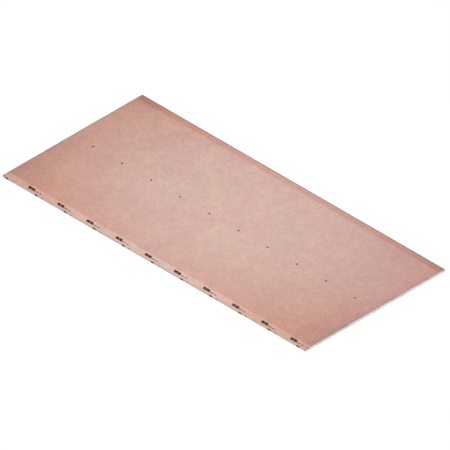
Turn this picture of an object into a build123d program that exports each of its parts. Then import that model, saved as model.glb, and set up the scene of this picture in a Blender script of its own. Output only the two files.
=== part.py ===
from build123d import *
from math import atan2, tan
import os

# A sheet of fire-rated drywall: a gypsum core cast between two liner papers.
# The face paper covers the face, folds round both long edges and ends in a hem under the back.
# The back paper closes the back and laps both hems. The short ends are cut square through all layers.
# X runs along the length, Y across the width and Z up from the back. The origin is the middle of the back.

# Whole sheet
sheet_length = 2600.0
sheet_width = 1200.0
sheet_thickness = 15.0

# Tapered long edges, which leave room for joint tape and filler
taper_width = 50.0
taper_depth = 1.3
taper_ease = 12.0  # the flat of the face curves into the taper over this width, each side of their line

# Face paper, and the corners of the core that it is folded over
face_paper_thickness = 0.4
core_face_corner_radius = 1.6
core_back_corner_radius = 1.1

# Back paper, and how it meets the hems of the face paper
back_paper_thickness = 0.4
back_paper_setback = 10.0  # from the long edge to the edge of the back paper
hem_lap = 20.0  # width of hem that the back paper covers

half_width = sheet_width / 2
flat_half_width = half_width - taper_width
long_edge_height = sheet_thickness - taper_depth
hem_width = back_paper_setback + hem_lap
span_between_hems = sheet_width - 2 * hem_width
taper_angle = atan2(taper_depth, taper_width)
taper_ease_radius = taper_ease / tan(taper_angle / 2)
sheet_end = Plane.YZ.offset(-sheet_length / 2)

# Section inside the outer surface of the face paper
with BuildSketch() as outer_section:
    with BuildLine():
        Polyline(
            (-half_width, back_paper_thickness),
            (-half_width, long_edge_height),
            (-flat_half_width, sheet_thickness),
            (flat_half_width, sheet_thickness),
            (half_width, long_edge_height),
            (half_width, back_paper_thickness),
            close=True,
        )
    make_face()
    # Each fillet makes new corners, so they are chosen again: the back's, the long edges', the tapers'
    fillet(outer_section.vertices().group_by(Axis.Y)[0], core_back_corner_radius + face_paper_thickness)
    fillet(outer_section.vertices().group_by(Axis.Y)[-2], core_face_corner_radius + face_paper_thickness)
    fillet(outer_section.vertices().group_by(Axis.Y)[-1], taper_ease_radius)

# Section inside the inner surface of the face paper
with BuildSketch() as inner_section:
    offset(outer_section.sketch, amount=-face_paper_thickness)

# Strip between the hems, where the core reaches down to the back paper
with BuildSketch() as hem_gap:
    with Locations((0, back_paper_thickness)):
        Rectangle(span_between_hems, face_paper_thickness, align=(Align.CENTER, Align.MIN))

# Core, rebated along both long edges by the thickness of the hems
with BuildPart() as gypsum_core:
    with BuildSketch(sheet_end):
        add(inner_section.sketch)
        add(hem_gap.sketch)
    extrude(amount=sheet_length)
gypsum_core.part.label = "gypsum_core"

# Face paper, one folded sheet that is open along the back between its hems
with BuildPart() as face_paper:
    with BuildSketch(sheet_end):
        add(outer_section.sketch)
        add(inner_section.sketch, mode=Mode.SUBTRACT)
        add(hem_gap.sketch, mode=Mode.SUBTRACT)
    extrude(amount=sheet_length)
face_paper.part.label = "face_paper"

# Back paper, a flat sheet over the core and the inner part of each hem
with BuildPart() as back_paper:
    with BuildSketch(Plane.XY):
        Rectangle(sheet_length, sheet_width - 2 * back_paper_setback)
    extrude(amount=back_paper_thickness)
back_paper.part.label = "back_paper"

os.makedirs("parts", exist_ok=True)
export_step(gypsum_core.part, "parts/gypsum_core.step")
export_step(face_paper.part, "parts/face_paper.step")
export_step(back_paper.part, "parts/back_paper.step")
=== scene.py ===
import math

import bmesh
import bpy
from mathutils import Matrix, Vector, noise


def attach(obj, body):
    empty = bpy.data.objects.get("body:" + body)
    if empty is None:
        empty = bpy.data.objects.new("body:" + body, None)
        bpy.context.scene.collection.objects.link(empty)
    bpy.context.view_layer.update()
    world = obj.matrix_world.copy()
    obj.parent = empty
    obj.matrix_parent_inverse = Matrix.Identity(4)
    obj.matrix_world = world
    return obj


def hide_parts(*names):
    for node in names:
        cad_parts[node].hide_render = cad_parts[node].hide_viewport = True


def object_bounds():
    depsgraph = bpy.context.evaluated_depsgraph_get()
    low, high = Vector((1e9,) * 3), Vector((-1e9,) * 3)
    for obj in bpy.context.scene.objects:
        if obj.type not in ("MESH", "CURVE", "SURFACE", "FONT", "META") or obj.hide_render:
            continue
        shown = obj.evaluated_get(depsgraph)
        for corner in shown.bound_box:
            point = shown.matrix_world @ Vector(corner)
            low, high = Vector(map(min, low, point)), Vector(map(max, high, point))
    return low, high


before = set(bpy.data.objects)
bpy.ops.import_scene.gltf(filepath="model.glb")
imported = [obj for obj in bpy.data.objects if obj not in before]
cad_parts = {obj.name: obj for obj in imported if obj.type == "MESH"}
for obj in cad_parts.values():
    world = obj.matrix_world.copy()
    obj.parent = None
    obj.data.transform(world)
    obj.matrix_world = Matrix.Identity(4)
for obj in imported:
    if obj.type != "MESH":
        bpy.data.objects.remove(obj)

cadLow, cadHigh = [list(corner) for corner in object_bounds()]

# Sizes of the sheet in metres, the first three read from the frame
sheet = {
    "length": cadHigh[0] - cadLow[0],
    "width": cadHigh[1] - cadLow[1],
    "thickness": cadHigh[2] - cadLow[2],
    "taperWidth": 0.050,
    "taperDepth": 0.0013,
    "taperEase": 0.012,  # half the length of the curve that leads into each taper
    "paper": 0.0004,  # either liner
    "faceFold": 0.0020,  # outside radius of the fold at the face
    "backFold": 0.0015,  # and of the one at the back
    "hemWidth": 0.030,
    "backSetback": 0.010,  # from the long edge to the back paper
}
halfLength = sheet["length"] / 2
halfWidth = sheet["width"] / 2
taperAngle = math.atan2(sheet["taperDepth"], sheet["taperWidth"])
edgeHeight = sheet["thickness"] - sheet["taperDepth"]
sharpAngle = 0.6  # radians between two faces, past which their edge is shown sharp


def tone(red, green, blue):  # a screen colour as the numbers that shaders take
    def linear(value):
        value /= 255
        return value / 12.92 if value <= 0.04045 else ((value + 0.055) / 1.055) ** 2.4
    return (linear(red), linear(green), linear(blue), 1.0)


def rough(x, y, z, size):  # smooth noise from -1 to 1 whose lumps are about size across
    return noise.noise(Vector((x, y, z)) / size)


def faceHeight(y):  # height of the face, with its tapers and the curves that lead into them
    past = abs(y) - (halfWidth - sheet["taperWidth"])
    ease = sheet["taperEase"]
    slope = math.tan(taperAngle)
    if past < -ease:
        return sheet["thickness"]
    if past < ease:
        return sheet["thickness"] - slope * (past + ease) ** 2 / (4 * ease)
    return sheet["thickness"] - slope * past


# Nodes

def newPaint(name):
    paint = bpy.data.materials.new(name)
    paint.use_nodes = True
    tree = paint.node_tree
    shader = tree.nodes["Principled BSDF"]
    coords = tree.nodes.new("ShaderNodeTexCoord")
    return paint, tree, shader, coords.outputs["Object"]


def feed(tree, socket, value):  # a link or a plain number, whichever value is
    if isinstance(value, bpy.types.NodeSocket):
        tree.links.new(value, socket)
    else:
        socket.default_value = value


def maths(tree, operation, first, second=0.0):
    node = tree.nodes.new("ShaderNodeMath")
    node.operation = operation
    feed(tree, node.inputs[0], first)
    feed(tree, node.inputs[1], second)
    return node.outputs[0]


def both(tree, first, second):  # 1 where both are 1
    return maths(tree, "MULTIPLY", first, second)


def axes(tree, where):
    node = tree.nodes.new("ShaderNodeSeparateXYZ")
    feed(tree, node.inputs["Vector"], where)
    return node.outputs["X"], node.outputs["Y"], node.outputs["Z"]


def ramp(tree, value, low, high, outLow=0.0, outHigh=1.0, kind="SMOOTHSTEP"):
    node = tree.nodes.new("ShaderNodeMapRange")
    node.interpolation_type = kind
    feed(tree, node.inputs["Value"], value)
    for name, number in (("From Min", low), ("From Max", high), ("To Min", outLow), ("To Max", outHigh)):
        node.inputs[name].default_value = number
    return node.outputs["Result"]


def grain(tree, where, scale, detail=2.0, stretch=(1, 1, 1), turn=(0, 0, 0)):  # noise about 0.5
    mapping = tree.nodes.new("ShaderNodeMapping")
    mapping.vector_type = "TEXTURE"  # turns the pattern before it stretches it
    mapping.inputs["Scale"].default_value = stretch
    mapping.inputs["Rotation"].default_value = turn
    feed(tree, mapping.inputs["Vector"], where)
    node = tree.nodes.new("ShaderNodeTexNoise")
    node.inputs["Scale"].default_value = scale
    node.inputs["Detail"].default_value = detail
    feed(tree, node.inputs["Vector"], mapping.outputs["Vector"])
    return node.outputs["Fac"]


def spots(tree, where, scale, detail, span, stretch=(1, 1, 1)):  # 0 to 1 where the noise crosses the span
    return ramp(tree, grain(tree, where, scale, detail, stretch), *span)


def pits(tree, where, scale, smallest, largest, rarity=3.0, flat=0.3):  # 1 in round bowls, else 0
    cells = tree.nodes.new("ShaderNodeTexVoronoi")
    cells.inputs["Scale"].default_value = scale
    feed(tree, cells.inputs["Vector"], where)
    chance = maths(tree, "POWER", axes(tree, cells.outputs["Color"])[0], rarity)
    radius = ramp(tree, chance, 0.0, 1.0, smallest, largest, "LINEAR")
    return ramp(tree, maths(tree, "DIVIDE", cells.outputs["Distance"], radius), flat, 1.0, 1.0, 0.0)


strokeWay = {
    "scaleByTurn": 90.0,  # so that fibres that lie different ways don't coincide
    "bendLength": 6,  # in widths of a fibre
    "bendReach": 3,
    "detail": 1.0,
}


def strokes(tree, where, scale, turn, stretch=(6, 1, 1), edge=(0.61, 0.69)):  # 1 on bent fibres, else 0
    scale += strokeWay["scaleByTurn"] * sum(turn)
    noisy = tree.nodes.new("ShaderNodeTexNoise")
    noisy.inputs["Scale"].default_value = scale / strokeWay["bendLength"]
    feed(tree, noisy.inputs["Vector"], where)
    bend = tree.nodes.new("ShaderNodeVectorMath")
    bend.operation = "MULTIPLY_ADD"
    feed(tree, bend.inputs[0], noisy.outputs["Color"])
    feed(tree, bend.inputs[1], (strokeWay["bendReach"] / scale,) * 3)
    feed(tree, bend.inputs[2], where)
    fibres = grain(tree, bend.outputs[0], scale, strokeWay["detail"], stretch, turn)
    return ramp(tree, fibres, *edge)


def nap(tree, where, scale, turns, detail=3.0, stretch=(3, 1, 1)):  # height of fibres that lie two ways
    ways = [grain(tree, where, scale, detail, stretch, (0, 0, turn)) for turn in turns]
    return maths(tree, "ADD", *ways)


def blend(tree, factor, first, second, how="MIX"):
    node = tree.nodes.new("ShaderNodeMix")
    node.data_type = "RGBA"
    node.blend_type = how
    feed(tree, node.inputs["Factor"], factor)
    feed(tree, node.inputs[6], first)  # the colour sockets, which share their names with others
    feed(tree, node.inputs[7], second)
    return node.outputs[2]


def tinted(tree, share, colour, tint):  # the colour multiplied by a tint, as far as the share goes
    return blend(tree, share, colour, blend(tree, 1.0, colour, tint, "MULTIPLY"))


def relief(tree, shader, height, depth, strength):
    node = tree.nodes.new("ShaderNodeBump")
    node.inputs["Strength"].default_value = strength
    node.inputs["Distance"].default_value = depth
    feed(tree, node.inputs["Height"], height)
    feed(tree, shader.inputs["Normal"], node.outputs["Normal"])


def matte(shader, roughness, specular):
    shader.inputs["Roughness"].default_value = roughness
    shader.inputs["Specular IOR Level"].default_value = specular


# Paper of the face

faceFinish = {
    # from middle to ends the face turns darker and redder: partly painted shade, partly a redder tone
    "middle": tone(219, 183, 174),
    "ends": tone(219, 164, 147),
    # painted shade: the upright long faces and the far fold are given darker, greyer copies of the face
    # paper's tone
    "nearSideShaded": tone(199, 178, 171),
    "farFoldShade": tone(160, 137, 130),
    "farSideShaded": tone(190, 166, 157),
    "tornPly": tone(167, 145, 137),  # grey inner ply, bared along the cut ends
    "tornFluff": tone(182, 160, 152),
    "gloss": (0.88, 0.25),  # roughness and specular level
    "tints": {  # these multiply the tones above
        "pinkPatch": (1.002, 0.990, 1.000, 1),
        "beigePatch": (0.998, 1.005, 0.982, 1),
        "nearBandPaintedLight": (1.10, 1.30, 1.34, 1),  # painted light: the near taper, which leans towards the light, made paler
        "nearBandEnds": (1.15, 1.05, 1.02, 1),
        "farBandPaintedShade": (0.958, 0.797, 0.765, 1),  # painted shade: the far taper, which leans away from the light, made darker and redder
        "farBandRight": (0.89, 0.96, 0.94, 1),
        "farRight": (0.985, 0.99, 1.11, 1),  # the far right corner is cooler
        # painted shade: darker towards the near corners, and on the far taper towards the left end
        "nearCornerShade": (0.855, 0.89, 0.95, 1),
        "farLeftShade": (0.76, 0.81, 0.84, 1),
        # the face paper is darker over the last few centimetres towards each cut end
        "darkerEnds": (0.93, 0.97, 0.985, 1),
        "tornPatch": (0.86, 0.86, 0.86, 1),  # where the bared ply is darker
        "darkFibre": (0.96, 0.945, 0.94, 1),
        "paleFibre": (1.04, 1.05, 1.05, 1),
        "speck": (0.78, 0.74, 0.72, 1),
    },
    "spans": {  # where a change of tone starts and where it is whole, in metres from the middle
        "band": (0.547, 0.552),
        "nearBandEnds": (1.10, 1.29),
        "farBandRight": (0.85, 1.20),
        "farRight": (0.7, 1.7),  # along x + slant * y
        "nearCornersX": (1.05, 1.30),
        "nearCornersY": (0.3, -0.5),
        "farLeftX": (-1.0, -1.28),
        "farLeftY": (0.50, 0.58),
        "darkerEnds": (1.262, 1.290),
        "nearSideShaded": (-0.5980, -0.5992),
        "farFoldShade": (0.588, 0.595),
        "farSideShaded": (0.5990, 0.5998),
    },
    "slant": 0.8,
    "palestY": 0.15,  # from there the tone of the middle turns into that of the ends
    "acrossShare": 2.2,  # sooner across the sheet than along it
    "reachSpan": (0.6, 2.35),  # squared distances where that starts and ends
    "reachScale": 2.4,  # of the clouding that breaks it up
    "reachStray": 0.5,
    "bandNoise": (90.0, 3.0),  # scale and detail
    "bandStray": 0.004,  # of the edge of a band
    "patchScales": (3.0, 8.0, 21.0),
    "patchDetail": 2.0,
    "patchSpan": (0.36, 0.64),
    "clouds": (  # scale, stretch and strength
        (4.5, (1, 1, 1), 0.024),
        (16.0, (1, 1, 1), 0.032),
        (48.0, (1, 1, 1), 0.050),
        (150.0, (1.4, 1, 1), 0.045),
        (620.0, (3, 1, 1), 0.038),
    ),
    "cloudDetail": 3.0,
    "cloudSpan": (0.3, 0.7),
    "fibres": ((0.2, "darkFibre"), (1.1, "paleFibre"), (-0.5, "paleFibre"), (-1.2, "darkFibre")),
    "fibreScale": 800.0,
    "specks": (520.0, 2.0, (0.72, 0.76)),  # scale, detail and span of the noise
    "plyMottle": (500.0, 3.0, (0.35, 0.65), (3, 1, 1)),
    "plyPatches": (26.0, 3.0, (0.4, 0.6)),
    "frayNoise": (700.0, 3.0, (3, 1, 1)),
    "fraySpan": (0.35, 0.65),
    "napScale": 1100.0,
    "napTurns": (0.2, -0.9),
    "lumpScale": 160.0,
    "lumpShare": 1.5,
    "relief": (0.00012, 0.6),  # depth and strength
}


def broadTone(tree, where, x, y):  # from the palest place towards the ends, darker and redder, which is partly painted shade and partly a redder tone, with pink and beige patches
    away = maths(tree, "SUBTRACT", y, faceFinish["palestY"])
    across = maths(tree, "MULTIPLY", maths(tree, "MULTIPLY", away, away), faceFinish["acrossShare"])
    reach = maths(tree, "ADD", maths(tree, "MULTIPLY", x, x), across)
    cloud = maths(tree, "MULTIPLY", grain(tree, where, faceFinish["reachScale"]), faceFinish["reachStray"])
    share = ramp(tree, maths(tree, "ADD", reach, cloud), *faceFinish["reachSpan"], kind="LINEAR")
    colour = blend(tree, share, faceFinish["middle"], faceFinish["ends"])
    tints = faceFinish["tints"]
    for scale in faceFinish["patchScales"]:
        share = spots(tree, where, scale, faceFinish["patchDetail"], faceFinish["patchSpan"])
        patches = blend(tree, share, tints["pinkPatch"], tints["beigePatch"])
        colour = blend(tree, 1.0, colour, patches, "MULTIPLY")
    return colour


def bandsAndCorners(tree, colour, x, y, strayY, strayNear):
    spans = faceFinish["spans"]
    slanted = maths(tree, "ADD", x, maths(tree, "MULTIPLY", y, faceFinish["slant"]))
    ends = maths(tree, "ABSOLUTE", x)
    near = ramp(tree, strayNear, *spans["band"])
    far = ramp(tree, strayY, *spans["band"])
    # painted shade towards the near corners and the far taper's left end
    nearCornerShade = both(tree, ramp(tree, ends, *spans["nearCornersX"]),
                       ramp(tree, y, *spans["nearCornersY"]))
    farLeftShade = both(tree, ramp(tree, x, *spans["farLeftX"]), ramp(tree, y, *spans["farLeftY"]))
    for share, tint in (
        (ramp(tree, slanted, *spans["farRight"]), "farRight"),
        (nearCornerShade, "nearCornerShade"),
        (farLeftShade, "farLeftShade"),
        (ramp(tree, ends, *spans["darkerEnds"]), "darkerEnds"),
        # painted light on the near taper, painted shade on the far one
        (near, "nearBandPaintedLight"),
        (far, "farBandPaintedShade"),
        (both(tree, near, ramp(tree, ends, *spans["nearBandEnds"])), "nearBandEnds"),
        (both(tree, far, ramp(tree, x, *spans["farBandRight"])), "farBandRight"),
    ):
        colour = tinted(tree, share, colour, faceFinish["tints"][tint])
    return colour


def cloudsAndFibres(tree, where, colour):
    for scale, stretch, strength in faceFinish["clouds"]:
        cloud = grain(tree, where, scale, faceFinish["cloudDetail"], stretch)
        shade = ramp(tree, cloud, *faceFinish["cloudSpan"], 1 - strength, 1 + strength)
        shaded = tree.nodes.new("ShaderNodeVectorMath")
        shaded.operation = "SCALE"
        feed(tree, shaded.inputs[0], colour)
        feed(tree, shaded.inputs["Scale"], shade)
        colour = shaded.outputs[0]
    for turn, fibre in faceFinish["fibres"]:
        share = strokes(tree, where, faceFinish["fibreScale"], (0, 0, turn))
        colour = tinted(tree, share, colour, faceFinish["tints"][fibre])
    return tinted(tree, spots(tree, where, *faceFinish["specks"]), colour, faceFinish["tints"]["speck"])


def tornPly(tree, where, colour):  # the grey ply, where the mesh says that it is bared
    bared = tree.nodes.new("ShaderNodeAttribute")
    bared.attribute_name = "bared"
    stray = maths(tree, "SUBTRACT", grain(tree, where, *faceFinish["frayNoise"]), 0.5)
    fray = maths(tree, "ADD", bared.outputs["Fac"], stray)
    mottle = spots(tree, where, *faceFinish["plyMottle"])
    ply = blend(tree, mottle, faceFinish["tornPly"], faceFinish["tornFluff"])
    patches = spots(tree, where, *faceFinish["plyPatches"])
    ply = tinted(tree, patches, ply, faceFinish["tints"]["tornPatch"])
    return blend(tree, ramp(tree, fray, *faceFinish["fraySpan"]), colour, ply)


def makeFacePaint():
    paint, tree, shader, where = newPaint("facePaper")
    x, y = axes(tree, where)[:2]
    stray = maths(tree, "SUBTRACT", grain(tree, where, *faceFinish["bandNoise"]), 0.5)
    stray = maths(tree, "MULTIPLY", stray, faceFinish["bandStray"])
    strayY = maths(tree, "ADD", y, stray)
    strayNear = maths(tree, "ADD", maths(tree, "MULTIPLY", y, -1.0), stray)
    colour = broadTone(tree, where, x, y)
    colour = bandsAndCorners(tree, colour, x, y, strayY, strayNear)
    colour = cloudsAndFibres(tree, where, colour)
    # painted shade on the upright faces and the far fold
    for place, part in ((y, "nearSideShaded"), (strayY, "farFoldShade"), (y, "farSideShaded")):
        colour = blend(tree, ramp(tree, place, *faceFinish["spans"][part]), colour, faceFinish[part])
    colour = tornPly(tree, where, colour)
    feed(tree, shader.inputs["Base Color"], colour)
    matte(shader, *faceFinish["gloss"])
    lumps = maths(tree, "MULTIPLY", grain(tree, where, faceFinish["lumpScale"]), faceFinish["lumpShare"])
    height = maths(tree, "ADD", nap(tree, where, faceFinish["napScale"], faceFinish["napTurns"]), lumps)
    relief(tree, shader, height, *faceFinish["relief"])
    return paint


# Gypsum, back paper and ink

gypsumFinish = {
    "pale": tone(238, 227, 223),
    "warm": tone(229, 211, 205),
    "darkerTint": (0.90, 0.83, 0.81, 1),  # broad patches, darker and pinker
    # painted shade: the centres of the pores, darkened as shade falls in hollows
    "pore": tone(164, 146, 136),
    "strand": tone(247, 243, 240),  # glass fibres in the core
    "underPaper": (0.94, 0.86, 0.85, 1),  # stained where the face paper was torn off
    "gloss": (0.95, 0.2),
    "cloud": (120.0, 4.0, (0.35, 0.65)),  # scale, detail and span of the noise
    "darkerPatches": (42.0, 2.0, (0.46, 0.60)),
    "stainNoise": (60.0, 3.0),
    "stainStray": 0.004,
    "stainSpan": (0.0115, 0.0165),  # height
    "pores": ((450.0, 0.05, 0.42), (1300.0, 0.10, 0.45)),  # cells to the metre, radii as shares of a cell
    "strandTurns": (0.1, 0.8, 1.7, 2.6),
    "strandScale": 2000.0,
    "strandStretch": (1, 14, 1),
    "strandEdge": (0.69, 0.74),
    "bumpNoise": (700.0, 4.0),
    "relief": (0.0003, 0.8),
}


def makeGypsumPaint():
    paint, tree, shader, where = newPaint("gypsum")
    cloud = spots(tree, where, *gypsumFinish["cloud"])
    colour = blend(tree, cloud, gypsumFinish["warm"], gypsumFinish["pale"])
    colour = tinted(tree, spots(tree, where, *gypsumFinish["darkerPatches"]), colour, gypsumFinish["darkerTint"])
    stray = grain(tree, where, *gypsumFinish["stainNoise"])
    stray = maths(tree, "MULTIPLY", stray, gypsumFinish["stainStray"])
    height = maths(tree, "ADD", axes(tree, where)[2], stray)
    stain = ramp(tree, height, *gypsumFinish["stainSpan"])
    colour = tinted(tree, stain, colour, gypsumFinish["underPaper"])
    hollow = maths(tree, "MAXIMUM", *[pits(tree, where, *sizes) for sizes in gypsumFinish["pores"]])
    # the pores painted darker in their middles, as painted shade
    colour = blend(tree, hollow, colour, gypsumFinish["pore"])
    for turn in gypsumFinish["strandTurns"]:
        strand = strokes(tree, where, gypsumFinish["strandScale"], (turn, 0, 0),
                         gypsumFinish["strandStretch"], gypsumFinish["strandEdge"])
        colour = blend(tree, strand, colour, gypsumFinish["strand"])
    feed(tree, shader.inputs["Base Color"], colour)
    matte(shader, *gypsumFinish["gloss"])
    bumps = maths(tree, "SUBTRACT", grain(tree, where, *gypsumFinish["bumpNoise"]), hollow)
    relief(tree, shader, bumps, *gypsumFinish["relief"])
    return paint


backFinish = {
    "pale": tone(182, 170, 158),
    "deep": tone(172, 159, 148),
    "fleck": tone(158, 145, 134),
    "hair": tone(194, 183, 172),
    "speck": tone(122, 110, 100),
    "gloss": (0.92, 0.2),
    "cloud": (24.0, 6.0, (0.3, 0.7), (1.6, 1, 1)),
    "fibres": ((0.3, "fleck"), (-0.7, "fleck"), (1.2, "hair")),
    "fibreScale": 1000.0,
    "fibreShare": 0.7,
    "specks": (480.0, 2.0, (0.70, 0.75)),
    "napScale": 900.0,
    "napTurns": (0.3, -0.8),
    "relief": (0.00012, 0.6),
}


def makeBackPaint():
    paint, tree, shader, where = newPaint("backPaper")
    colour = blend(tree, spots(tree, where, *backFinish["cloud"]), backFinish["deep"], backFinish["pale"])
    for turn, fibre in backFinish["fibres"]:
        share = strokes(tree, where, backFinish["fibreScale"], (0, 0, turn))
        share = maths(tree, "MULTIPLY", share, backFinish["fibreShare"])
        colour = blend(tree, share, colour, backFinish[fibre])
    colour = blend(tree, spots(tree, where, *backFinish["specks"]), colour, backFinish["speck"])
    feed(tree, shader.inputs["Base Color"], colour)
    matte(shader, *backFinish["gloss"])
    height = nap(tree, where, backFinish["napScale"], backFinish["napTurns"])
    relief(tree, shader, height, *backFinish["relief"])
    return paint


inkFinish = {
    "ink": (tone(44, 13, 5), tone(66, 30, 20)),
    "dotInk": (tone(74, 20, 4), tone(94, 36, 16)),
    "fineInk": (tone(112, 84, 72), tone(146, 116, 104)),  # of the dashes, which the paper shows through
    "cover": (900.0, 3.0, (0.45, 0.7)),  # the second tone is where the ink is thin
    "gloss": (0.7, 0.25),
}


def makeInkPaint(name):
    paint, tree, shader, where = newPaint(name)
    cover = spots(tree, where, *inkFinish["cover"])
    feed(tree, shader.inputs["Base Color"], blend(tree, cover, *inkFinish[name]))
    matte(shader, *inkFinish["gloss"])
    return paint


# Pieces

def finishPiece(bm, name, paint, stands=None):
    for face in bm.faces:
        face.smooth = True
    for edge in bm.edges:
        edge.smooth = edge.calc_face_angle(0.0) < sharpAngle
    mesh = bpy.data.meshes.new(name)
    bm.to_mesh(mesh)
    bm.free()
    mesh.materials.append(paint)
    piece = bpy.data.objects.new(name, mesh)
    bpy.context.scene.collection.objects.link(piece)
    if stands:
        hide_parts(stands)
    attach(piece, "root")
    return piece


def pushVert(bm, vert, y, z):  # draws the section on, to one more point
    made = bmesh.ops.extrude_vert_indiv(bm, verts=[vert])["verts"][0]
    made.co.y, made.co.z = y, z
    return made


def turnVert(bm, vert, centreY, centreZ, angle, steps):  # draws the section on round an arc
    bmesh.ops.spin(bm, geom=[vert], cent=(vert.co.x, centreY, centreZ), axis=(1, 0, 0), angle=angle,
                   steps=steps, use_merge=False)
    bm.verts.ensure_lookup_table()
    return bm.verts[-1]


def drawAlong(bm, rows):  # draws a section from end to end, with rows at these distances from both
    stations = [-halfLength + row for row in rows] + [halfLength - row for row in reversed(rows)]
    edges = bm.edges[:]
    for before, after in zip(stations, stations[1:]):
        made = bmesh.ops.extrude_edge_only(bm, edges=edges)["geom"]
        verts = [item for item in made if isinstance(item, bmesh.types.BMVert)]
        edges = [item for item in made if isinstance(item, bmesh.types.BMEdge)]
        bmesh.ops.translate(bm, verts=verts, vec=(after - before, 0, 0))


def thickenPaper(bm, thickness):  # gives a sheet its thickness inwards, and returns its outer points
    bmesh.ops.recalc_face_normals(bm, faces=bm.faces)
    top = max(bm.faces, key=lambda face: face.calc_center_median().z)
    if top.normal.z < 0:
        bmesh.ops.reverse_faces(bm, faces=bm.faces)
    bm.normal_update()
    outer = {vert: vert.normal.copy() for vert in bm.verts}
    bmesh.ops.solidify(bm, geom=bm.faces[:], thickness=thickness)
    return outer


cutEnds = {
    # Waves of a torn edge: the length of each and its share
    "waves": ((0.15, 0.9), (0.035, 1.3), (0.008, 0.6), (0.0025, 0.45)),
    "layers": {"tear": 0.3, "plyTear": 5.3, "backTear": 9.5},  # places in the noise, so that they differ
    "lean": {"left": 0.0, "right": 0.0008},  # how much deeper the tear goes at the far corner
}


def wander(side, y, kind):  # how an edge that was torn across the sheet strays, about 0
    layer = cutEnds["layers"][kind]
    return sum(share * rough(side, y, layer + length, length) for length, share in cutEnds["waves"])


def lean(name, y):
    return cutEnds["lean"][name] * y / halfWidth


def sideOf(x):
    return ("right", 1.0) if x > 0 else ("left", -1.0)


def nearEnds(bm, reach):  # each point within reach of an end: its gap from it, and which end that is
    for vert in bm.verts:
        gap = halfLength - abs(vert.co.x)
        if gap < reach:
            name, side = sideOf(vert.co.x)
            yield vert, gap, name, side


faceSheet = {
    "inset": 0.00006,  # below the frame's outer surface, which leaves room for the ink
    "easeSteps": 6,  # in the curve that leads into a taper
    "foldSteps": 6,
    "foldRise": 0.00005,  # the taper is that much higher over the fold's middle than at the edge
    "pitch": 0.0011,  # of the columns across the sheet
    "rows": 14,  # near each end
    "reach": 0.016,  # from the end to the last of them
    "tear": {"left": 0.0006, "right": 0.0024},  # how far the torn paper stands back from the end
    "plyTear": {"left": 0.0072, "right": 0.0086},  # and its outer ply
    "ragged": {"left": 0.0008, "right": 0.0016},
    "plyRagged": {"left": 0.0016, "right": 0.0025},
    "plyDrop": 0.00016,
}


def drawFaceSection(bm):  # half of it, from the middle of the face round the long edge to the hem
    inset = faceSheet["inset"]
    top = sheet["thickness"] - inset
    flatEnd = halfWidth - sheet["taperWidth"] - sheet["taperEase"]
    vert = pushVert(bm, bm.verts.new((-halfLength, 0, top)), flatEnd, top)
    for step in range(1, faceSheet["easeSteps"] + 1):
        y = flatEnd + 2 * sheet["taperEase"] * step / faceSheet["easeSteps"]
        vert = pushVert(bm, vert, y, faceHeight(y) - inset)
    radius = sheet["faceFold"] - inset
    centreY = halfWidth - sheet["faceFold"]
    centreZ = edgeHeight - sheet["faceFold"] + faceSheet["foldRise"]
    foldStart = (centreY + radius * math.sin(taperAngle), centreZ + radius * math.cos(taperAngle))
    vert = pushVert(bm, vert, *foldStart)
    vert = turnVert(bm, vert, centreY, centreZ, taperAngle - math.pi / 2, faceSheet["foldSteps"])
    radius = sheet["backFold"] - inset
    centreY = halfWidth - sheet["backFold"]
    centreZ = sheet["paper"] + sheet["backFold"]
    vert = pushVert(bm, vert, halfWidth - inset, centreZ)
    vert = turnVert(bm, vert, centreY, centreZ, -math.pi / 2, faceSheet["foldSteps"])
    pushVert(bm, vert, halfWidth - sheet["hemWidth"], centreZ - radius)


def makeFaceSheet(paint):
    bm = bmesh.new()
    drawFaceSection(bm)

    # Fine columns over the face, then the other half
    for edge in bm.edges[:]:
        cuts = round(edge.calc_length() / faceSheet["pitch"]) - 1
        if cuts > 0:
            bmesh.ops.subdivide_edges(bm, edges=[edge], cuts=cuts)
    half = bm.verts[:] + bm.edges[:]
    bmesh.ops.mirror(bm, geom=half, matrix=Matrix.Identity(4), merge_dist=1e-6, axis="Y")

    reach = faceSheet["reach"]
    drawAlong(bm, [reach * row / faceSheet["rows"] for row in range(faceSheet["rows"] + 1)])

    # Torn ends: each row stands back less than the one outside it
    for vert, gap, name, side in nearEnds(bm, reach):
        stray = faceSheet["ragged"][name] * wander(side, vert.co.y + vert.co.z, "tear")
        back = faceSheet["tear"][name] + lean(name, vert.co.y) + stray
        vert.co.x -= side * max(0.0, back) * (1 - gap / reach)
    outer = thickenPaper(bm, sheet["paper"] - faceSheet["inset"])

    # The outer ply is torn further back, which bares the grey ply below it
    bared = bm.verts.layers.float.new("bared")
    for vert, gap, name, side in nearEnds(bm, reach):
        stray = faceSheet["plyRagged"][name] * wander(side, vert.co.y + vert.co.z, "plyTear")
        line = faceSheet["plyTear"][name] - lean(name, vert.co.y) + stray
        vert[bared] = min(1.0, max(0.0, (line - gap) / faceSheet["pitch"] + 0.5))
        if vert in outer:
            vert.co -= outer[vert] * faceSheet["plyDrop"] * vert[bared]
    print("face paper made")
    return finishPiece(bm, "facePaperSheet", paint, "face_paper")


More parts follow.
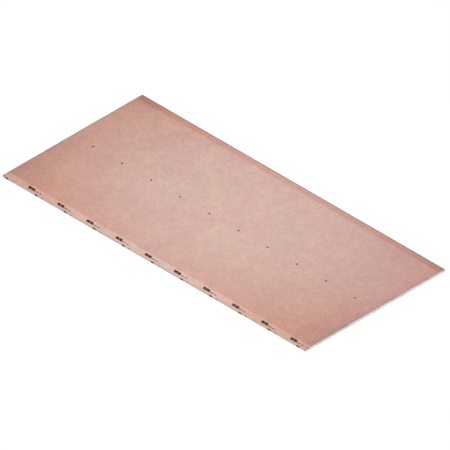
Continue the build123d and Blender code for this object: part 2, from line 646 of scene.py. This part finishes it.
coreCut = {
    "columns": 1900,
    "rows": 24,
    "breakTop": {"left": 0.0011, "right": 0.0031},  # the core stands back under the torn face paper
    "breakFoot": {"left": 0.0005, "right": 0.0005},  # and reaches nearly to the end at the back
    "leastBreak": 0.0001,
    "waveDepth": 0.0020,
    "lumpDepth": 0.0007,
    "gritDepth": 0.00035,
    "fineGrit": 0.6,  # share of the grit's depth
    "chipDepth": 0.0040,
    "chipFrom": 0.22,  # it chips where the noise is above this
    "cornerWear": 1.0,  # how much deeper the chips are at the near right corner
    "wornFrom": 0.75,  # share of half the width where that starts
    "noises": {  # where each is taken, how much it changes over the height, and the size of its lumps
        "wave": (4, 0.4, 0.045),
        "lump": (3, 1.0, 0.011),
        "grit": (5, 1.0, 0.0028),
        "fineGrit": (6, 1.0, 0.0014),
        "chip": (7, 0.6, 0.018),
    },
    "bubbleSpacing": 0.0042,
    "largestBubble": 0.0021,  # radius where the cut opens it
    "smallestBubble": 0.0011,  # smaller ones are left to the paint
    "bubbleDepth": 0.6,  # share of the radius
    "bubbleChance": 7,  # spreads the bubbles' centres over the noise that sizes them
}


def coreTop(y):  # height of the core's upper surface, under the face paper
    corner = sheet["faceFold"] - sheet["paper"]
    past = abs(y) - (halfWidth - sheet["faceFold"])
    if past > 0:
        return edgeHeight - sheet["faceFold"] + math.sqrt(max(0.0, corner ** 2 - past ** 2))
    return faceHeight(y) - sheet["paper"]


def coreFoot(y):  # height of its lower surface, which is rebated for the hem
    corner = sheet["backFold"] - sheet["paper"]
    past = abs(y) - (halfWidth - sheet["backFold"])
    if past > 0:
        return sheet["paper"] + sheet["backFold"] - math.sqrt(max(0.0, corner ** 2 - past ** 2))
    inHem = abs(y) > halfWidth - sheet["hemWidth"]
    return sheet["paper"] * (2 if inHem else 1)


def bubble(side, y, z):  # depth of the soft bowl where the cut opened a bubble of air
    spacing = coreCut["bubbleSpacing"]
    distances, centres = noise.voronoi(Vector((side, y, z)) / spacing)
    away = distances[0] * spacing
    radius = coreCut["largestBubble"] * noise.cell(centres[0] * coreCut["bubbleChance"]) ** 2
    if radius < max(coreCut["smallestBubble"], away):
        return 0.0
    inwards = 1 - away / radius
    return coreCut["bubbleDepth"] * radius * inwards ** 2 * (3 - 2 * inwards)


def coreNoise(kind, side, y, z):
    place, upright, size = coreCut["noises"][kind]
    return rough(side * place, y, z * upright, size)


def coreBreak(y, z, x):  # how far the broken core stands back from the end
    name, side = sideOf(x)
    share = z / sheet["thickness"]
    base = coreCut["breakFoot"][name] * (1 - share) + coreCut["breakTop"][name] * share
    base += share * lean(name, y) + coreCut["waveDepth"] * coreNoise("wave", side, y, z)
    lumps = coreCut["lumpDepth"] * coreNoise("lump", side, y, z)
    fine = coreCut["fineGrit"] * coreNoise("fineGrit", side, y, z)
    grit = coreCut["gritDepth"] * (coreNoise("grit", side, y, z) + fine)
    chips = max(0.0, coreNoise("chip", side, y, z) - coreCut["chipFrom"]) / (1 - coreCut["chipFrom"])
    if name == "right":
        worn = max(0.0, -y / halfWidth - coreCut["wornFrom"]) / (1 - coreCut["wornFrom"])
        chips *= 1 + coreCut["cornerWear"] * worn
    depth = base + lumps + grit + coreCut["chipDepth"] * chips + bubble(side, y, z)
    return max(coreCut["leastBreak"], depth)


def makeCore(paint):
    bm = bmesh.new()
    width = sheet["width"] - 2 * sheet["paper"]
    for place in (-halfLength, halfLength):
        upright = Matrix.Translation((place, 0, 0)) @ Matrix.Rotation(math.pi / 2, 4, "Y")
        made = bmesh.ops.create_grid(bm, x_segments=coreCut["rows"], y_segments=coreCut["columns"],
                                     size=0.5, matrix=upright)["verts"]
        for vert in made:  # from a grid 1 wide and 1 high to the section of the core
            y = vert.co.y * width
            share = vert.co.z + 0.5
            z = coreFoot(y) * (1 - share) + coreTop(y) * share
            vert.co = (place - math.copysign(coreBreak(y, z, place), place), y, z)
    bmesh.ops.bridge_loops(bm, edges=[edge for edge in bm.edges if edge.is_boundary])
    bmesh.ops.recalc_face_normals(bm, faces=bm.faces)
    print("core made")
    return finishPiece(bm, "gypsumCoreCut", paint, "gypsum_core")


backSheet = {
    "columns": 1000,
    "rows": (0.0, 0.0005, 0.0011, 0.0018, 0.0028, 0.0045, 0.008, 0.012),  # from each end
    "ragged": {"left": 0.0010, "right": 0.0010},
}


def makeBackSheet(paint):
    bm = bmesh.new()
    edgeY = halfWidth - sheet["backSetback"]
    first = bm.verts.new((-halfLength, -edgeY, sheet["paper"]))
    pushVert(bm, first, edgeY, sheet["paper"])
    bmesh.ops.subdivide_edges(bm, edges=bm.edges[:], cuts=backSheet["columns"] - 1)
    drawAlong(bm, backSheet["rows"])
    reach = backSheet["rows"][-1]
    for vert, gap, name, side in nearEnds(bm, reach):
        back = backSheet["ragged"][name] * wander(side, vert.co.y, "backTear")
        vert.co.x -= side * max(0.0, back) * (1 - gap / reach)
    thickenPaper(bm, sheet["paper"])
    print("back paper made")
    return finishPiece(bm, "backPaperSheet", paint, "back_paper")


# Printing: plain dots and bars that repeat along the sheet
marks = {
    "pitch": 0.250,
    "dotDiameter": 0.0135,
    "dotFirst": -1.125,
    "dotCount": 10,
    "discSides": 24,
    "stampFirst": -1.0744,
    "stampCount": 10,
    "stampFromEdge": 0.0262,
    "stampHeight": 0.022,
    "slant": -0.45,  # the bars lean back
    # Starts and lengths of the bars and of the dashes after them
    "bars": ((-0.0290, 0.0084), (-0.0199, 0.0080), (-0.0112, 0.0084),
             (-0.0004, 0.0084), (0.0087, 0.0080), (0.0174, 0.0086)),
    "dashes": ((0.031, 0.008), (0.039, 0.006), (0.045, 0.009), (0.054, 0.007)),
    "dashInk": 0.9,  # share of a dash's room that is inked
    "dashHeight": 0.0038,
    "dashRows": (-0.0020, -0.0070),  # from the middle of the stamp
    "spotCentre": 0.0765,
    "spotRow": -0.0050,
    "spotDiameter": 0.012,
    "sideFirst": -1.2645,
    "sideCount": 11,
    "sideBar": (0.0, 0.026, 0.0104, 0.0079),  # offset, length, height and its middle above the back
    "faintBar": (0.051, 0.014, 0.0050, 0.0090),
    "endMargin": 0.012,  # no ink nearer than this to the torn ends
    "film": 0.00006,
}


def layOnFace(verts):
    for vert in verts:
        vert.co.z = faceHeight(vert.co.y) - faceSheet["inset"]


def inkDisc(bm, x, y, diameter):
    made = bmesh.ops.create_circle(bm, cap_ends=True, segments=marks["discSides"], radius=diameter / 2,
                                   matrix=Matrix.Translation((x, y, 0)))["verts"]
    layOnFace(made)


def inkBar(bm, start, length, y, height, slant=0.0):
    place = Matrix.Translation((start + length / 2, y, 0))
    size = Matrix.Diagonal((length, height, 1, 1))
    made = bmesh.ops.create_grid(bm, x_segments=1, y_segments=1, size=0.5, matrix=place @ size)["verts"]
    for vert in made:
        vert.co.x += slant * (vert.co.y - y)
    layOnFace(made)


def thicken(bm):  # gives flat ink its film, upwards
    bmesh.ops.recalc_face_normals(bm, faces=bm.faces)
    for face in bm.faces:
        if face.normal.z < 0:
            face.normal_flip()
    made = bmesh.ops.extrude_face_region(bm, geom=bm.faces[:])["geom"]
    verts = [item for item in made if isinstance(item, bmesh.types.BMVert)]
    bmesh.ops.translate(bm, verts=verts, vec=(0, 0, marks["film"]))
    bmesh.ops.recalc_face_normals(bm, faces=bm.faces)


def makeDots(paint):
    bm = bmesh.new()
    for number in range(marks["dotCount"]):
        inkDisc(bm, marks["dotFirst"] + number * marks["pitch"], 0, marks["dotDiameter"])
    thicken(bm)
    return finishPiece(bm, "screwDots", paint)


def makeStamps(paint):
    bm = bmesh.new()
    centreY = -halfWidth + marks["stampFromEdge"]
    for number in range(marks["stampCount"]):
        x = marks["stampFirst"] + number * marks["pitch"]
        for start, length in marks["bars"]:
            inkBar(bm, x + start, length, centreY, marks["stampHeight"], marks["slant"])
    thicken(bm)
    return finishPiece(bm, "taperBars", paint)


def makeFinePrint(paint):
    bm = bmesh.new()
    centreY = -halfWidth + marks["stampFromEdge"]
    for number in range(marks["stampCount"]):
        x = marks["stampFirst"] + number * marks["pitch"]
        for start, length in marks["dashes"]:
            for row in marks["dashRows"]:
                inkBar(bm, x + start, length * marks["dashInk"], centreY + row, marks["dashHeight"])
        inkDisc(bm, x + marks["spotCentre"], centreY + marks["spotRow"], marks["spotDiameter"])
    thicken(bm)
    return finishPiece(bm, "taperFinePrint", paint)


def makeSideMarks(paint, name, offset, length, height, middle):
    bm = bmesh.new()
    size = Matrix.Diagonal((length, marks["film"], height, 1))
    for number in range(marks["sideCount"]):
        x = marks["sideFirst"] + offset + number * marks["pitch"]
        place = Matrix.Translation((x, -halfWidth + marks["film"] / 2, middle))
        if x + length / 2 < halfLength - marks["endMargin"]:
            bmesh.ops.create_cube(bm, size=1.0, matrix=place @ size)
    return finishPiece(bm, name, paint)


# Studio: a white floor and room, a wide lamp above the sheet, one in front, and the camera
studio = {
    "sky": 0.24,
    "horizon": 1.65,  # added near the horizon, so that upright faces are lit as well as the top
    "lampHeight": 2.2,
    "lampSize": 1.2,
    "lampPlace": (-0.12, 0.12),
    "lampPower": 18.2,
    "frontPower": 220.0,
    "frontSize": 4.0,
    "frontDistance": 10.0,
    "frontRise": 25.0,
    "floorSize": 60.0,
    "floorDrop": 0.0002,  # so that the floor and the back of the sheet don't share one plane
    "floorBounce": (0.92, 0.92, 0.92, 1),  # what the floor throws back on the sheet
    "floorShade": (0.27, 0.27, 0.27, 1),  # the part of it that the camera sees in light and shadow
    "floorGlow": 0.825,  # with that, just white
    "floorGloss": (1.0, 0.0),
}
picture = {
    "azimuth": 45.0,
    "elevation": 35.264,
    "viewWidth": 2.7318,  # metres across the picture
    "pixels": 450,
    "faceMiddle": (223.506, 221.579),  # pixel where the middle of the face falls
    "distance": 6.0,
    "clipEnd": 50.0,
}
white = (1, 1, 1, 1)


def towards(azimuth, elevation):  # from the sheet to a lamp or the camera
    turn, rise = math.radians(azimuth), math.radians(elevation)
    return Vector((math.sin(turn) * math.cos(rise), -math.cos(turn) * math.cos(rise), math.sin(rise)))


def makeRoom():  # light from all round, and white where nothing stands
    bpy.context.scene.view_settings.view_transform = "Standard"
    world = bpy.data.worlds.new("room")
    bpy.context.scene.world = world
    world.use_nodes = True
    tree = world.node_tree
    plain = tree.nodes["Background"]
    plain.inputs["Color"].default_value = white
    direction = tree.nodes.new("ShaderNodeTexCoord").outputs["Generated"]
    lowness = maths(tree, "SUBTRACT", 1.0, maths(tree, "ABSOLUTE", axes(tree, direction)[2]))
    ring = maths(tree, "MULTIPLY", maths(tree, "MULTIPLY", lowness, lowness), studio["horizon"])
    feed(tree, plain.inputs["Strength"], maths(tree, "ADD", ring, studio["sky"]))
    seen = tree.nodes.new("ShaderNodeBackground")
    seen.inputs["Color"].default_value = white
    rays = tree.nodes.new("ShaderNodeLightPath")
    choose = tree.nodes.new("ShaderNodeMixShader")
    through = maths(tree, "MAXIMUM", rays.outputs["Is Glossy Ray"], rays.outputs["Is Transmission Ray"])
    feed(tree, choose.inputs[0], maths(tree, "MAXIMUM", rays.outputs["Is Camera Ray"], through))
    tree.links.new(plain.outputs[0], choose.inputs[1])
    tree.links.new(seen.outputs[0], choose.inputs[2])
    tree.links.new(choose.outputs[0], tree.nodes["World Output"].inputs["Surface"])


def makeFloor():
    bm = bmesh.new()
    low = Matrix.Translation((0, 0, -studio["floorDrop"]))
    bmesh.ops.create_grid(bm, x_segments=1, y_segments=1, size=studio["floorSize"] / 2, matrix=low)
    mesh = bpy.data.meshes.new("floor")
    bm.to_mesh(mesh)
    bm.free()
    floor = bpy.data.objects.new("floor", mesh)
    bpy.context.scene.collection.objects.link(floor)
    paint, tree, shader = newPaint("floorWhite")[:3]
    matte(shader, *studio["floorGloss"])
    camera = tree.nodes.new("ShaderNodeLightPath").outputs["Is Camera Ray"]
    shade = blend(tree, camera, studio["floorBounce"], studio["floorShade"])
    feed(tree, shader.inputs["Base Color"], shade)
    shader.inputs["Emission Color"].default_value = white
    feed(tree, shader.inputs["Emission Strength"], maths(tree, "MULTIPLY", camera, studio["floorGlow"]))
    mesh.materials.append(paint)


def hangLamp(name, power, size, place):
    lamp = bpy.data.lights.new(name, "AREA")
    lamp.shape = "DISK"
    lamp.size = size
    lamp.energy = power
    hung = bpy.data.objects.new(name, lamp)
    hung.location = place
    hung.rotation_euler = (-place).to_track_quat("-Z", "Y").to_euler()
    bpy.context.scene.collection.objects.link(hung)


def makeCamera():
    back = towards(picture["azimuth"], picture["elevation"])
    facing = (-back).to_track_quat("-Z", "Y")
    pixel = picture["viewWidth"] / picture["pixels"]
    centre = (picture["pixels"] - 1) / 2
    right = (picture["faceMiddle"][0] - centre) * pixel
    up = (centre - picture["faceMiddle"][1]) * pixel
    camera = bpy.data.cameras.new("camera")
    camera.type = "ORTHO"
    camera.ortho_scale = picture["viewWidth"]
    camera.clip_end = picture["clipEnd"]
    stand = bpy.data.objects.new("camera", camera)
    aim = Vector((0, 0, sheet["thickness"])) - facing @ Vector((right, up, 0))
    stand.location = aim + back * picture["distance"]
    stand.rotation_mode = "QUATERNION"
    stand.rotation_quaternion = facing
    bpy.context.scene.collection.objects.link(stand)
    bpy.context.scene.camera = stand


makeFaceSheet(makeFacePaint())
makeCore(makeGypsumPaint())
makeBackSheet(makeBackPaint())
ink = makeInkPaint("ink")
fineInk = makeInkPaint("fineInk")
makeDots(makeInkPaint("dotInk"))
makeStamps(ink)
makeFinePrint(fineInk)
makeSideMarks(ink, "sideMarks", *marks["sideBar"])
makeSideMarks(fineInk, "sideFaintMarks", *marks["faintBar"])
print("printing made")
makeRoom()
makeFloor()
hangLamp("overhead", studio["lampPower"], studio["lampSize"],
         Vector((*studio["lampPlace"], sheet["thickness"] + studio["lampHeight"])))
hangLamp("front", studio["frontPower"], studio["frontSize"],
         towards(picture["azimuth"], studio["frontRise"]) * studio["frontDistance"])
makeCamera()
print("studio made")
